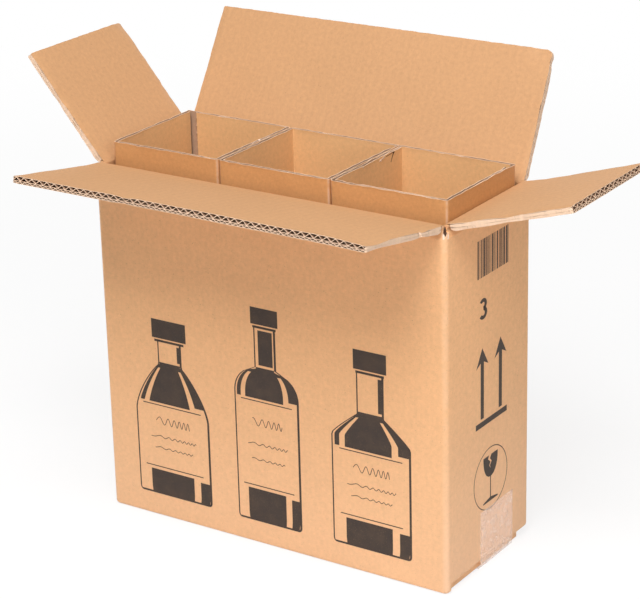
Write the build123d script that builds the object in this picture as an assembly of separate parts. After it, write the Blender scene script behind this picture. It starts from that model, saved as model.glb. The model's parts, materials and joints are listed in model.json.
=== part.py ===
"""Shipping carton for three bottles: a folded double-wall carton with its four top flaps open,
three square single-wall sleeves standing in it, and packing tape over the closed bottom.

Millimetres. +Z is up, the wide front panel faces -Y, and the origin is the middle of the base.
"""

import os
from math import cos, radians, sin, sqrt, tan

from build123d import *

# Double-wall board of the carton: coarse flute towards the inside, fine flute towards the print
liner = 0.35
coarse_flute_height = 3.10
coarse_flute_pitch = 7.10
fine_flute_height = 1.65
fine_flute_pitch = 4.73
fluting_paper = 0.30
board = 3 * liner + coarse_flute_height + fine_flute_height

# Inner sleeves: one strip of single-wall board each, folded square, its ends meeting at a corner
bottle_room = 93.6
sleeve_wall = 3.0
sleeve_length = 289.0
sleeve_fold_radius = 2.4
sleeve_seam = 3.0
sleeve_liner = 0.5
rim_slit_depth = 2.4

# How the sleeves stand in the carton
sleeve_names = ("sleeve_left", "sleeve_middle", "sleeve_right")
sleeve_gap = 0.8
left_slack = 3.2
right_gap = 0.8
front_slack = 7.8
back_gap = 7.0
sleeve_seat_gap = 0.2
sleeve_stand = 18.0  # how far the sleeves reach above the folds of the top flaps

# Folds of the carton
wall_fold_radius = 4.5
base_fold_radius = 3.2
inner_fold_radius = 0.8
layer_gap = 0.2  # between flaps that lie on each other
edge_gap = 0.6  # between a flap's side edge and the panel beside it

# Top flaps: long enough to cover each other almost fully
top_flap_shortfall = 22.0
front_slot = 3.4  # from the carton's corner to the side edge of the front and back flaps
side_slot_clearance = 0.4  # keeps the side flaps off the front and back flaps when all stand up
slot_drop = 2.0  # the slots are cut this far below the fold line
fold_clearance = 0.3
fully_open_angle = 130.0  # from upright, where the crushed fold stops a flap
open_angle_spare = 2.0
crushed_length = 16.0  # the flutes are crushed shut this close to a fold
worn_radius = 5.0  # of the back flap's knocked corner

# How far each top flap leans outwards from upright as it stands now
front_flap_angle = 80.0
right_flap_angle = 73.0
back_flap_angle = 31.0
left_flap_angle = 40.0

# Bottom flaps: the side pair folds in first, then the back one, then the front one outside
bottom_flap_shortfall = 14.0
bottom_side_inset = 3.0
bottom_flute_depth = 20.0
bottom_edge_radius = 1.5

# Glued joint at the back left corner, with its tab crushed flat inside the left panel
glue_tab_width = 34.0
glue_tab_thickness = 2.6
glue_tab_taper = 8.0
joint_slit = 0.8
joint_skin = 0.9  # board left behind the slit

# Packing tape across the base and up both short sides, pressed flush into the base
tape_width = 50.0
tape_thickness = 0.1
tape_rise = 48.0
tape_offset = 11.8  # from the middle towards the back
tape_film_gap = 0.02
tape_turn_radius = 3.0

# Where the panels end up
sleeve_side = bottle_room + 2 * sleeve_wall
sleeve_count = len(sleeve_names)
sleeve_row = sleeve_count * sleeve_side + (sleeve_count - 1) * sleeve_gap
carton_length = 2 * board + left_slack + sleeve_row + right_gap
carton_depth = 2 * board + front_slack + sleeve_side + back_gap
half_length = carton_length / 2
half_depth = carton_depth / 2
half_board = board / 2
foot_level = board + layer_gap  # of the back and side panels, on the front bottom flap
side_flap_level = 2 * (board + layer_gap)
floor_level = side_flap_level + board
crease_height = floor_level + sleeve_seat_gap + sleeve_length - sleeve_stand
top_flap_length = carton_depth - top_flap_shortfall
bottom_flap_length = carton_depth - bottom_flap_shortfall
side_slot = board + side_slot_clearance
front_flap_width = carton_length - 2 * front_slot
side_flap_width = carton_depth - 2 * side_slot
fold_relief_angle = (180 - fully_open_angle - open_angle_spare) / 2
past = 1.0  # how far a cutting tool runs past what it cuts
near = 0.01  # how close two places are when they count as the same


def block(x0, x1, y0, y1, z0, z1):
    """A box between two corners."""
    return Pos((x0 + x1) / 2, (y0 + y1) / 2, (z0 + z1) / 2) * Box(x1 - x0, y1 - y0, z1 - z0)


def flute_holes(room, base_level, tip_level, pitch, shift):
    """Triangles across the room: the air between a zigzag of fluting paper and one liner.

    They stand on base_level and point at tip_level; shift moves the row sideways.
    """
    height = tip_level - base_level
    slope = sqrt((pitch / 2) ** 2 + height**2) / abs(height)
    half_base = pitch / 2 - fluting_paper / 2 * slope
    tip = base_level + height * half_base / (pitch / 2)
    count = int((room - abs(shift)) / pitch)
    first = shift - (count - 1) / 2 * pitch
    centres = [first + k * pitch for k in range(count)]
    return [
        [(x - half_base, base_level), (x + half_base, base_level), (x, tip)]
        for x in centres
        if abs(x) + half_base < room / 2
    ]


def board_holes(room):
    """The open cells that a cut across the double-wall board shows, as triangles.

    The level runs through the board from -half_board, the printed side, to +half_board.
    Neighbouring cells point opposite ways, half a pitch apart.
    """
    fine_bottom = -half_board + liner
    fine_top = fine_bottom + fine_flute_height
    coarse_bottom = fine_top + liner
    coarse_top = coarse_bottom + coarse_flute_height
    fine_shift = fine_flute_pitch / 4
    coarse_shift = coarse_flute_pitch / 4
    return (
        flute_holes(room, fine_bottom, fine_top, fine_flute_pitch, -fine_shift)
        + flute_holes(room, fine_top, fine_bottom, fine_flute_pitch, fine_shift)
        + flute_holes(room, coarse_bottom, coarse_top, coarse_flute_pitch, -coarse_shift)
        + flute_holes(room, coarse_top, coarse_bottom, coarse_flute_pitch, coarse_shift)
    )


def fluted_board(width, length, closed_side=liner):
    """A piece of double-wall board with its flutes open at both ends, and none near its sides.

    Width runs along X, thickness along Y with the coarse flute on +Y, and flutes along +Z.
    """
    outline = Wire.make_polygon(
        [
            (-width / 2, -half_board),
            (width / 2, -half_board),
            (width / 2, half_board),
            (-width / 2, half_board),
        ]
    )
    cells = [Wire.make_polygon(corners) for corners in board_holes(width - 2 * closed_side)]
    return Solid.extrude(Face(outline, cells), Vector(0, 0, length))


def fold_relief():
    """Section of what is crushed away outside a fold, so that the panels can close on it.

    X runs away from the fold axis along a panel and Y through the board, negative outwards.
    """
    outside = half_board + past
    reach = outside / tan(radians(fold_relief_angle))
    return Polygon((0, 0), (0, -outside), (reach, -outside), align=None)


def top_flap(width):
    """A top flap standing upright on its fold axis, inner face to +Y, with open flutes on top."""
    root_profile = Polygon(
        (0, -half_board),
        (crushed_length, -half_board),
        (crushed_length, half_board),
        (0, half_board),
        align=None,
    )
    root_profile -= fold_relief()
    root_profile -= Circle(half_board + fold_clearance)
    # The section is drawn with the flap's length along X, which here points up.
    section_plane = Plane(origin=(width / 2, 0, 0), x_dir=(0, 0, 1), z_dir=(-1, 0, 0))
    root = extrude(section_plane * root_profile, width)
    leaf = Pos(0, 0, crushed_length) * fluted_board(width, top_flap_length - crushed_length)
    return root + leaf


def worn_corner(flap, width):
    """The same flap with its free corner on -X knocked round."""
    x = -width / 2
    z = top_flap_length
    corner = block(x - past, x + worn_radius, -board, board, z - worn_radius, z + past)
    rounding = Pos(x + worn_radius, 0, z - worn_radius) * Rot(90, 0, 0) * Cylinder(worn_radius, 3 * board)
    return flap - (corner - rounding)


def hung(flap, x, y, turn, angle):
    """Puts an upright flap on the fold at (x, y), facing out by turn, and leans it outwards."""
    return Pos(x, y, crease_height) * Rot(0, 0, turn) * Rot(angle, 0, 0) * flap


def top_flaps():
    """The four open flaps, by name."""
    front_back = top_flap(front_flap_width)
    side = top_flap(side_flap_width)
    y = half_depth - half_board
    x = half_length - half_board
    return {
        "top_flap_front": hung(front_back, 0, -y, 0, front_flap_angle),
        "top_flap_back": hung(worn_corner(front_back, front_flap_width), 0, y, 180, back_flap_angle),
        "top_flap_right": hung(side, x, 0, 90, right_flap_angle),
        "top_flap_left": hung(side, -x, 0, -90, left_flap_angle),
    }


def wall_ring():
    """The four upright panels as one wrap with rounded folds, up to the fold line."""
    outer = RectangleRounded(carton_length, carton_depth, wall_fold_radius)
    inner = RectangleRounded(carton_length - 2 * board, carton_depth - 2 * board, inner_fold_radius)
    return extrude(outer - inner, crease_height)


def fold_round():
    """Section of the rounded inner side of a fold, over which the inner liner stretches.

    In the axes of fold_relief, it runs from the panel's inner side to where an open flap's lies.
    """
    drop = board * tan(radians(fully_open_angle - 90))
    sector = Polygon((0, 0), (0, board), (-board, board), (-board, -drop), align=None)
    return Circle(half_board) & sector


def along_fold(section, width):
    """A fold's section carried along X, centred, with the panel below it."""
    plane = Plane(origin=(-width / 2, 0, 0), x_dir=(0, 0, -1), z_dir=(1, 0, 0))
    return extrude(plane * section, width)


def fold_line(width):
    """The top edge of one panel at its fold: (what the fold crushes away, the rounded edge).

    Both lie along X, with the panel below them and its printed side to -Y.
    """
    return along_fold(fold_relief(), width + 2 * edge_gap), along_fold(fold_round(), width)


def is_foot(edge):
    """True for the long outer edges that a panel's foot is folded on."""
    middle = edge @ 0.5
    low_front = abs(middle.Y + half_depth) < near and abs(middle.Z) < near
    low_back = abs(middle.Y - half_depth) < near and abs(middle.Z - foot_level) < near
    low_side = abs(abs(middle.X) - half_length) < near and abs(middle.Z - foot_level) < near
    return low_front or low_back or low_side


def front_bottom_flap():
    """The outermost bottom flap, whose free edge shows its flutes along the back of the base."""
    free_edge = -half_depth + bottom_flap_length
    width = carton_length - 2 * bottom_side_inset
    plain_end = free_edge - bottom_flute_depth
    plain = block(-width / 2, width / 2, -half_depth + half_board, plain_end, 0, board)
    fluted = fluted_board(width, bottom_flute_depth, bottom_edge_radius + liner)
    flap = plain + Pos(0, free_edge, half_board) * Rot(90, 0, 0) * fluted
    low_sides = [e for e in flap.edges().filter_by(Axis.Y) if abs(e.center().Z) < near]
    return fillet([e for e in low_sides if abs(e.center().X) > width / 2 - near], bottom_edge_radius)


def back_bottom_flap():
    """The middle layer of the bottom, folded in from the foot of the back panel."""
    inside = half_length - board - edge_gap
    free_edge = half_depth - bottom_flap_length
    return block(-inside, inside, free_edge, half_depth - half_board, foot_level, foot_level + board)


def side_bottom_flap(side):
    """The innermost bottom flap of the left (-1) or right (+1) panel, on which sleeves stand."""
    root = side * (half_length - half_board)
    free_edge = side * (half_length - bottom_flap_length)
    y = half_depth - board - edge_gap
    return block(min(root, free_edge), max(root, free_edge), -y, y, side_flap_level, floor_level)


def glue_tab():
    """The tab of the back panel, crushed flat inside the left panel, narrower at its ends."""
    low = floor_level + layer_gap
    high = crease_height - glue_tab_taper
    y1 = half_depth - board
    y0 = y1 - glue_tab_width
    outline = Polygon(
        (y1, low),
        (y1, high),
        (y0, high - glue_tab_taper),
        (y0, low + glue_tab_taper),
        align=None,
    )
    plane = Plane(origin=(-half_length + board, 0, 0), x_dir=(0, 1, 0), z_dir=(1, 0, 0))
    return extrude(plane * outline, glue_tab_thickness)


def carton_shell():
    """The carton's wrap with its bottom folded shut: one sheet, so one solid."""
    # Below the feet of the back and side panels only the front panel reaches the base.
    shell = wall_ring() - block(
        -half_length - past,
        half_length + past,
        -half_depth + board,
        half_depth + past,
        -past,
        foot_level,
    )
    feet = [e for e in shell.edges().filter_by(GeomType.LINE) if is_foot(e)]
    shell = fillet(feet, base_fold_radius)
    # Slots between the top flaps
    for sx in (-1, 1):
        for sy in (-1, 1):
            x_in, x_out = sx * (half_length - front_slot), sx * (half_length + past)
            y_in, y_out = sy * (half_depth - side_slot), sy * (half_depth + past)
            shell -= block(
                min(x_in, x_out),
                max(x_in, x_out),
                min(y_in, y_out),
                max(y_in, y_out),
                crease_height - slot_drop,
                crease_height + past,
            )
    y = half_depth - half_board
    x = half_length - half_board
    folds = (
        (front_flap_width, 0, -y, 0),
        (front_flap_width, 0, y, 180),
        (side_flap_width, x, 0, 90),
        (side_flap_width, -x, 0, -90),
    )
    for width, px, py, turn in folds:
        relief, edge = fold_line(width)
        place = Pos(px, py, crease_height) * Rot(0, 0, turn)
        shell -= place * relief
        shell += place * edge
    shell += front_bottom_flap()
    shell += back_bottom_flap()
    shell += side_bottom_flap(-1)
    shell += side_bottom_flap(1)
    shell += glue_tab()
    slit_x = -half_length + board
    shell -= block(
        slit_x,
        slit_x + joint_slit,
        half_depth - board + joint_skin,
        half_depth + past,
        foot_level - past,
        crease_height + board,
    )
    # The tape is pressed into the liner, so that the base stays flat.
    shell -= block(
        -carton_length,
        carton_length,
        tape_offset - tape_width / 2 - tape_film_gap,
        tape_offset + tape_width / 2 + tape_film_gap,
        -past,
        tape_thickness + tape_film_gap,
    )
    return shell


def sleeve():
    """A square sleeve about its own middle, seam at the back left, standing on its lower rim."""
    outer = RectangleRounded(sleeve_side, sleeve_side, sleeve_fold_radius)
    tube = extrude(outer - Rectangle(bottle_room, bottle_room), sleeve_length)
    # The open slit between the two liners, round both rims
    slit_outer = sleeve_side - 2 * sleeve_liner
    slit_inner = bottle_room + 2 * sleeve_liner
    slit = RectangleRounded(slit_outer, slit_outer, sleeve_fold_radius - sleeve_liner)
    slit -= Rectangle(slit_inner, slit_inner)
    groove = extrude(slit, rim_slit_depth)
    tube -= Pos(0, 0, sleeve_length - rim_slit_depth) * groove
    tube -= groove
    # The back panel stops short of the left one: the ends of the strip aren't joined.
    inside = bottle_room / 2
    return tube - block(
        -inside,
        -inside + sleeve_seam,
        inside - past,
        sleeve_side / 2 + past,
        -past,
        sleeve_length + past,
    )


def sleeves():
    """The three sleeves in a row, pushed to the right; the seam of two is at the back right."""
    one = sleeve()
    first_x = -half_length + board + left_slack + sleeve_side / 2
    y = half_depth - board - back_gap - sleeve_side / 2
    z = floor_level + sleeve_seat_gap
    standing = {}
    for k, name in enumerate(sleeve_names):
        turn = 0 if k == 0 else -90
        standing[name] = Pos(first_x + k * (sleeve_side + sleeve_gap), y, z) * Rot(0, 0, turn) * one
    return standing


def packing_tape():
    """The strip of tape: under the base, round the feet of the side panels and up both."""
    inner_x = half_length + tape_film_gap
    outer_x = inner_x + tape_thickness
    # Seen from the front: a tall frame about the tape's top edge, then its lower half only
    outline = RectangleRounded(2 * outer_x, 2 * tape_rise, tape_turn_radius + tape_thickness)
    hollow = RectangleRounded(2 * inner_x, 2 * (tape_rise - tape_thickness), tape_turn_radius)
    strip = outline - hollow
    strip -= Pos(0, tape_rise / 2) * Rectangle(4 * outer_x, tape_rise)
    plane = Plane(origin=(0, tape_offset + tape_width / 2, tape_rise), x_dir=(1, 0, 0), z_dir=(0, -1, 0))
    return extrude(plane * strip, tape_width)


def build():
    """Every piece by name."""
    parts = {"carton_shell": carton_shell()}
    parts.update(top_flaps())
    parts.update(sleeves())
    parts["packing_tape"] = packing_tape()
    return parts


os.makedirs("parts", exist_ok=True)
for name, shape in build().items():
    export_step(shape, f"parts/{name}.step")
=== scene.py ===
"""Looks of a shipping carton for three bottles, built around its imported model. Metres, +Z up."""

import json

import bpy
import numpy as np
from mathutils import Matrix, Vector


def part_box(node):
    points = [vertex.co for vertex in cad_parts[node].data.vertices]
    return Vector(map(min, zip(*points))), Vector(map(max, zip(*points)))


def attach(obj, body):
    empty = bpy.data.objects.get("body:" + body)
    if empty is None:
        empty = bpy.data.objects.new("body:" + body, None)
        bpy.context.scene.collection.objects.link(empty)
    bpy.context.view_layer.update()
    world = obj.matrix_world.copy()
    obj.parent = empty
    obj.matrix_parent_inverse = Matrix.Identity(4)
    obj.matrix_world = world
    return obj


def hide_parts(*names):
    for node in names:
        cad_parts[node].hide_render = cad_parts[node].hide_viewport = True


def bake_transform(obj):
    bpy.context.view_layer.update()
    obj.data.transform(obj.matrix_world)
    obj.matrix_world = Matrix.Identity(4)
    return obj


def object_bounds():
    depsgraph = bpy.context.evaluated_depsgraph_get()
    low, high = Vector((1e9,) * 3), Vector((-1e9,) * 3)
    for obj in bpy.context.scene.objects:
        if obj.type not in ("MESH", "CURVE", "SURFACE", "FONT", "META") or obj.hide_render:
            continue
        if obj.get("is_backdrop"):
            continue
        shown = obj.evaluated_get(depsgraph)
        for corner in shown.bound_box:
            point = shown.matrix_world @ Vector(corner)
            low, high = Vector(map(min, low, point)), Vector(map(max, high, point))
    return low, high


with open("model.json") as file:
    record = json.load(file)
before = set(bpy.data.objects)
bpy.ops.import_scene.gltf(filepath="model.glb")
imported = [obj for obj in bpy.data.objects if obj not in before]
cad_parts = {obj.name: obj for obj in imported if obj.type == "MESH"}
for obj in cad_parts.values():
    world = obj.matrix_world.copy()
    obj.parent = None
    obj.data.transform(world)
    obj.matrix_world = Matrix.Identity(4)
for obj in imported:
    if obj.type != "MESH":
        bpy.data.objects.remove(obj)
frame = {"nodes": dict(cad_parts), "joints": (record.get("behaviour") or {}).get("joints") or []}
cad_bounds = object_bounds()

# The studio: a long lens at the photograph's height and turn, a white floor that keeps the
# carton's shadow, a faint white surround and broad soft lamps. Two low lamps light the back and
# the left side, and the open flaps keep them off the front.
camera_turn, camera_rise, camera_roll = np.radians([33.85, 20.75, 1.46])
camera_aim = np.array([-0.0019, 0.0141, 0.1823])
camera_distance = 1.8177
lens_mm = 130.51
surround_strength = 0.05
upwards = np.array([0.0, 0.0, 1.0])
floor_drop = 0.0003
floor_reach = 8.0
floor_white = 0.94
floor_glow = 0.80  # share of the floor's whiteness that no shadow takes away
shadow_reach, shadowless_reach = 0.3, 1.6  # from here outwards that share grows to all


def linear(red, green, blue):
    """The linear colour, with alpha, of an sRGB colour given from 0 to 255."""
    share = np.array([red, green, blue]) / 255
    light = np.where(share > 0.04045, ((share + 0.055) / 1.055) ** 2.4, share / 12.92)
    return (*light.tolist(), 1.0)


def put(tree, kind, sockets, **settings):
    """Adds a shader node. Sockets maps input names or numbers to values or to what feeds them."""
    node = tree.nodes.new("ShaderNode" + kind)
    for name, value in settings.items():
        setattr(node, name, value)
    for name, value in sockets.items():
        if isinstance(value, bpy.types.NodeSocket):
            tree.links.new(value, node.inputs[name])
        else:
            node.inputs[name].default_value = value
    return node


def blank_material(name):
    """A material without shader nodes, and its node tree."""
    made = bpy.data.materials.new(name)
    made.use_nodes = True
    made.node_tree.nodes.clear()
    return made, made.node_tree


def reckon(tree, operation, first, second=0.0):
    """The output of one arithmetic node."""
    return put(tree, "Math", {0: first, 1: second}, operation=operation).outputs[0]


def times(tree, first, second):
    """The product of two values."""
    return reckon(tree, "MULTIPLY", first, second)


def smooth_step(tree, value, low, high, least=0.0):
    """A smooth rise from least at low to 1 at high, and level beyond. Low may be the larger."""
    sockets = {"Value": value, "From Min": low, "From Max": high, "To Min": least}
    return put(tree, "MapRange", sockets, interpolation_type="SMOOTHSTEP").outputs["Result"]


def seen_directly(tree):
    """1 for rays from the camera and those that a gloss or a clear film sends on, else 0."""
    rays = put(tree, "LightPath", {}).outputs
    sent_on = reckon(tree, "MAXIMUM", rays["Is Glossy Ray"], rays["Is Transmission Ray"])
    return reckon(tree, "MAXIMUM", rays["Is Camera Ray"], sent_on)


def aimed(place, target, roll=0.0):
    """The matrix of a lamp or camera at place that looks at target, rolled about its view."""
    back = (place - target) / np.linalg.norm(place - target)
    right = np.cross(upwards, back)
    right /= np.linalg.norm(right)
    up = np.cross(back, right)
    side = np.cos(roll) * right - np.sin(roll) * up
    top = np.sin(roll) * right + np.cos(roll) * up
    turn = np.eye(4)
    turn[:3, :4] = np.column_stack([side, top, back, place])
    return Matrix(turn.tolist())


def around(turn, climb, distance):
    """A place at that distance from the aim, turned from the front and raised."""
    direction = [np.sin(turn) * np.cos(climb), -np.cos(turn) * np.cos(climb), np.sin(climb)]
    return camera_aim + distance * np.array(direction)


scene = bpy.context.scene
scene.view_settings.view_transform = "Standard"
camera = bpy.data.objects.new("camera", bpy.data.cameras.new("camera"))
camera.data.lens = lens_mm
camera.data.sensor_width = 36.0
camera.data.sensor_fit = "HORIZONTAL"
camera_place = around(camera_turn, camera_rise, camera_distance)
camera.matrix_world = aimed(camera_place, camera_aim, camera_roll)
scene.collection.objects.link(camera)
scene.camera = camera

world = bpy.data.worlds.new("surround")
world.use_nodes = True
scene.world = world
tree = world.node_tree
shown = times(tree, seen_directly(tree), 1 - surround_strength)
background = tree.nodes["Background"]
background.inputs["Color"].default_value = (1, 1, 1, 1)
tree.links.new(reckon(tree, "ADD", shown, surround_strength), background.inputs["Strength"])

# name, turn and climb in degrees, distance, width of the lamp, power
lamps = (
    ("high_front_lamp", 20, 58, 2.2, 1.3, 61.0),
    ("front_right_lamp", 38, 22, 2.2, 1.3, 5.5),
    ("right_lamp", 78, 28, 2.2, 1.3, 8.5),
    ("back_lamp", 184, 7, 2.6, 0.6, 24.0),
    ("left_lamp", 266, 3, 2.6, 0.4, 15.0),
)
for lamp_name, turn, climb, distance, width, power in lamps:
    lamp = bpy.data.lights.new(lamp_name, "AREA")
    lamp.size = width
    lamp.energy = power
    stand = bpy.data.objects.new(lamp_name, lamp)
    lamp_place = around(np.radians(turn), np.radians(climb), distance)
    stand.matrix_world = aimed(lamp_place, camera_aim)
    scene.collection.objects.link(stand)

floor_mesh = bpy.data.meshes.new("floor")
corners = floor_reach * np.array([(-1, -1), (1, -1), (1, 1), (-1, 1)])
floor_mesh.from_pydata([(x, y, -floor_drop) for x, y in corners], [], [(0, 1, 2, 3)])
floor = bpy.data.objects.new("floor", floor_mesh)
scene.collection.objects.link(floor)
material, tree = blank_material("white_floor")
matt = put(tree, "BsdfDiffuse", {"Color": (floor_white, floor_white, floor_white, 1)})
glow = put(tree, "Emission", {"Color": (1, 1, 1, 1), "Strength": 1.0})
place = put(tree, "TexCoord", {}).outputs["Object"]
distance = put(tree, "VectorMath", {0: place}, operation="LENGTH").outputs["Value"]
whiteness = smooth_step(tree, distance, shadow_reach, shadowless_reach, floor_glow)
share = times(tree, seen_directly(tree), whiteness)
both = put(tree, "MixShader", {0: share, 1: matt.outputs[0], 2: glow.outputs[0]})
put(tree, "OutputMaterial", {"Surface": both.outputs[0]})
floor_mesh.materials.append(material)
floor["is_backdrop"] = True

# The carton's wrap: one sheet of double-wall board, brown kraft liner on both faces, folded round
# into four panels, glued at the back left corner, its bottom flaps folded shut. The liner shows
# the flutes as faint upright bands, and is rubbed pale along the folds. Towards the foot the
# panels are painted paler: painted light that stands for the white floor's bounce.
print_colour = linear(226, 174, 125)
coarse_pitch = 0.0071
fine_pitch = 0.00473
rubbed_width = 0.0058
torn_from, torn_to = 0.011, 0.005  # below the top of the wrap, where its corners are torn
painted_bounce_high, painted_bounce_low = 0.20, -0.04  # heights between which the wrap is painted paler towards its foot, painted bounce light
# how much painted bounce light the side panels and the front and back get at the foot
painted_bounce_sides, painted_bounce_faces = 0.34, 0.20
worn_and_lit_white, worn_and_lit_own = 0.30, 0.64  # the pale colour of rubbed paper and of painted bounce light: so much white, and this share of its colour
cloud_mm, cloud_shift = 85, 0.055
mottle_mm, mottle_shift = 2.8, 0.165
fibre_mm, fibre_shift, upright_fibre = 0.5, 0.07, (1, 9, 9)
cross_mm, cross_shift, level_fibre = 0.45, 0.06, (9, 9, 1)
fleck_mm = 1.1
paper_relief = 0.00022
paper_roughness, paper_gloss = 0.70, 0.42
metre_mm = 1000.0
mm = 1 / metre_mm


def grain(tree, position, size_mm, detail=3.0, rough=0.55, stretch=(1, 1, 1)):
    """Noise from 0 to 1 whose grains are about size_mm long, stretched by the factors given."""
    scale = [metre_mm / size_mm / factor for factor in stretch]
    placed = put(tree, "Mapping", {"Vector": position, "Scale": scale}).outputs["Vector"]
    sockets = {"Vector": placed, "Scale": 1.0, "Detail": detail, "Roughness": rough}
    return put(tree, "TexNoise", sockets).outputs["Fac"]


def varied(tree, position, size_mm, amount, **noise):
    """Grain as a shift of up to about amount either way."""
    value = grain(tree, position, size_mm, **noise)
    return times(tree, reckon(tree, "SUBTRACT", value, 0.5), 2 * amount)


def added(tree, *values):
    """The sum of several values."""
    total = values[0]
    for value in values[1:]:
        total = reckon(tree, "ADD", total, value)
    return total


def flute_bands(tree, across, pitch):
    """A sine of -1 to 1 that repeats with the flutes."""
    return reckon(tree, "SINE", times(tree, across, 2 * np.pi / pitch))


def on_walls(tree):
    """Place on the upright panels, and the distance across their flutes."""
    place = put(tree, "TexCoord", {}).outputs["Object"]
    axes = put(tree, "SeparateXYZ", {0: place})
    facing = put(tree, "SeparateXYZ", {0: put(tree, "NewGeometry", {}).outputs["Normal"]})
    sideways = reckon(tree, "GREATER_THAN", reckon(tree, "ABSOLUTE", facing.outputs["X"]), 0.7)
    across = put(tree, "Mix", {0: sideways, 2: axes.outputs["X"], 3: axes.outputs["Y"]}).outputs[0]
    return place, across


def on_sheet(tree):
    """Place on a flat sheet before it was folded, and the distance across its flutes."""
    place = put(tree, "UVMap", {}, uv_map="sheet").outputs["UV"]
    return place, put(tree, "SeparateXYZ", {0: place}).outputs["X"]


def surface(tree, sockets):
    """Ends a material in one principled surface."""
    skin = put(tree, "BsdfPrincipled", sockets)
    put(tree, "OutputMaterial", {"Surface": skin.outputs[0]})


def paper(name, colour, pitch, band, fleck=0.30, wear_and_painted_light=None, ground=on_sheet):
    """Kraft liner: clouds, mottling, fibres two ways, dark flecks, flute bands, and paleness from
    wear and from painted light.

    The shade is 1 plus the sum of the shifts, less the flecks. Mottling, fibres and bands also
    raise the bump.
    """
    made, tree = blank_material(name)
    place, across = ground(tree)
    clouds = varied(tree, place, cloud_mm, cloud_shift, detail=2)
    mottling = varied(tree, place, mottle_mm, mottle_shift, detail=4, rough=0.66)
    upright = varied(tree, place, fibre_mm, fibre_shift, detail=2, stretch=upright_fibre)
    level = varied(tree, place, cross_mm, cross_shift, detail=2, stretch=level_fibre)
    bands = times(tree, flute_bands(tree, across, pitch), band)
    shade = added(tree, 1.0, clouds, mottling, upright, level, bands)
    dark = smooth_step(tree, grain(tree, place, fleck_mm, detail=1), 0.70, 0.78)
    shade = reckon(tree, "SUBTRACT", shade, times(tree, dark, fleck))
    base = put(tree, "VectorMath", {0: colour[:3], "Scale": shade}, operation="SCALE").outputs[0]
    # paleness of wear, and on the wrap also of painted bounce light at the foot
    worn = wear_and_painted_light(tree, place) if wear_and_painted_light else 0.0
    pale = tuple(worn_and_lit_white + worn_and_lit_own * part for part in colour[:3]) + (1.0,)
    tinted = put(tree, "Mix", {0: worn, 6: base, 7: pale}, data_type="RGBA").outputs[2]
    fine = added(tree, mottling, upright, level)
    height = added(tree, times(tree, fine, 1.6), times(tree, bands, 9.0))
    bump = put(tree, "Bump", {"Height": height, "Distance": paper_relief, "Strength": 0.6})
    sockets = {"Base Color": tinted, "Normal": bump.outputs[0]}
    sockets.update({"Roughness": paper_roughness, "Specular IOR Level": paper_gloss})
    surface(tree, sockets)
    return made


_, shell_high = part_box("carton_shell")
half_length, half_depth = shell_high.x, shell_high.y


def rubbed_folds_and_painted_bounce(tree, place):
    """How pale the panels are: the more of painted bounce light, an even rise towards the foot that
    stands for the white floor's light, and of rubbing, a product of the nearness to two panels,
    which noise breaks up and torn slot ends strengthen."""
    axes = put(tree, "SeparateXYZ", {0: place})
    near = []
    for axis, half in (("X", half_length), ("Y", half_depth)):
        size = reckon(tree, "ABSOLUTE", axes.outputs[axis])
        near.append(smooth_step(tree, size, half - rubbed_width, half))
    fold = times(tree, near[0], near[1])
    patches = smooth_step(tree, grain(tree, place, 9, detail=4, rough=0.65), 0.30, 0.62)
    torn = smooth_step(tree, axes.outputs["Z"], shell_high.z - torn_from, shell_high.z - torn_to)
    patches = times(tree, patches, 0.18)
    strength = added(tree, 0.06, patches, times(tree, torn, 0.7))
    bounce_by_panel = added(tree, times(tree, near[0], painted_bounce_sides), times(tree, near[1], painted_bounce_faces))
    painted_bounce = smooth_step(tree, axes.outputs["Z"], painted_bounce_high, painted_bounce_low)
    painted_bounce = times(tree, painted_bounce, bounce_by_panel)
    return reckon(tree, "MAXIMUM", times(tree, fold, strength), painted_bounce)


shell = frame["nodes"]["carton_shell"]
wrap_paper = paper(
    "kraft_wrap", print_colour, fine_pitch, 0.007, wear_and_painted_light=rubbed_folds_and_painted_bounce, ground=on_walls
)
shell.data.materials.clear()
shell.data.materials.append(wrap_paper)
shell.data.polygons.foreach_set("material_index", np.zeros(len(shell.data.polygons), np.int32))

# The four top flaps, cut from the same double-wall sheet: an inner liner, the coarse flute, a
# middle liner, the fine flute and the printed liner, glued at the flute tips. The flutes stand
# open at the free end, and the die has squashed them to a pale mass along the side edges.
# the inner liner's tone, darker than the printed liner's: partly its own, partly painted shade on
# the faces that look up
inside_colour_with_painted_shade = linear(192, 146, 103)
# the fluting's tone, darker than the liners': partly its own, partly painted shade for the open
# flute cells
flute_colour_with_painted_shade = linear(178, 144, 118)
cut_colour = linear(222, 190, 162)
board = 0.0058
liner = 0.00035
coarse_height = 0.00310
fine_height = 0.00165
fluting_paper = 0.00030
flap_length = 0.104
relief_angle = np.radians(24.0)
root_start = 0.0033
root_end = 0.020
crushed_margin = 0.0048
edge_crush = 0.16
handled_crush = 0.035
most_crush = 0.86
frayed_reach = 0.0013
frayed_growth = 0.00017
squashed_reach = 0.0013
squashed_share = 0.34
end_inset, end_ragged = 0.0003, 0.00016
side_inset, side_ragged = 0.0002, 0.00018
board_warp = 0.0002
sharp_angle = np.radians(40.0)
one_finish = (0, 0, 0)
half_board = board / 2
folds = {joint["name"]: joint for joint in frame["joints"]}


def points_at(*places):
    """Points from their places along each axis, as one array."""
    return np.stack(np.broadcast_arrays(*places), axis=-1)


def grid(first, second):
    """Two arrays that hold each pair of places, the first across and the second along."""
    return np.meshgrid(first, second, indexing="ij")


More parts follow.
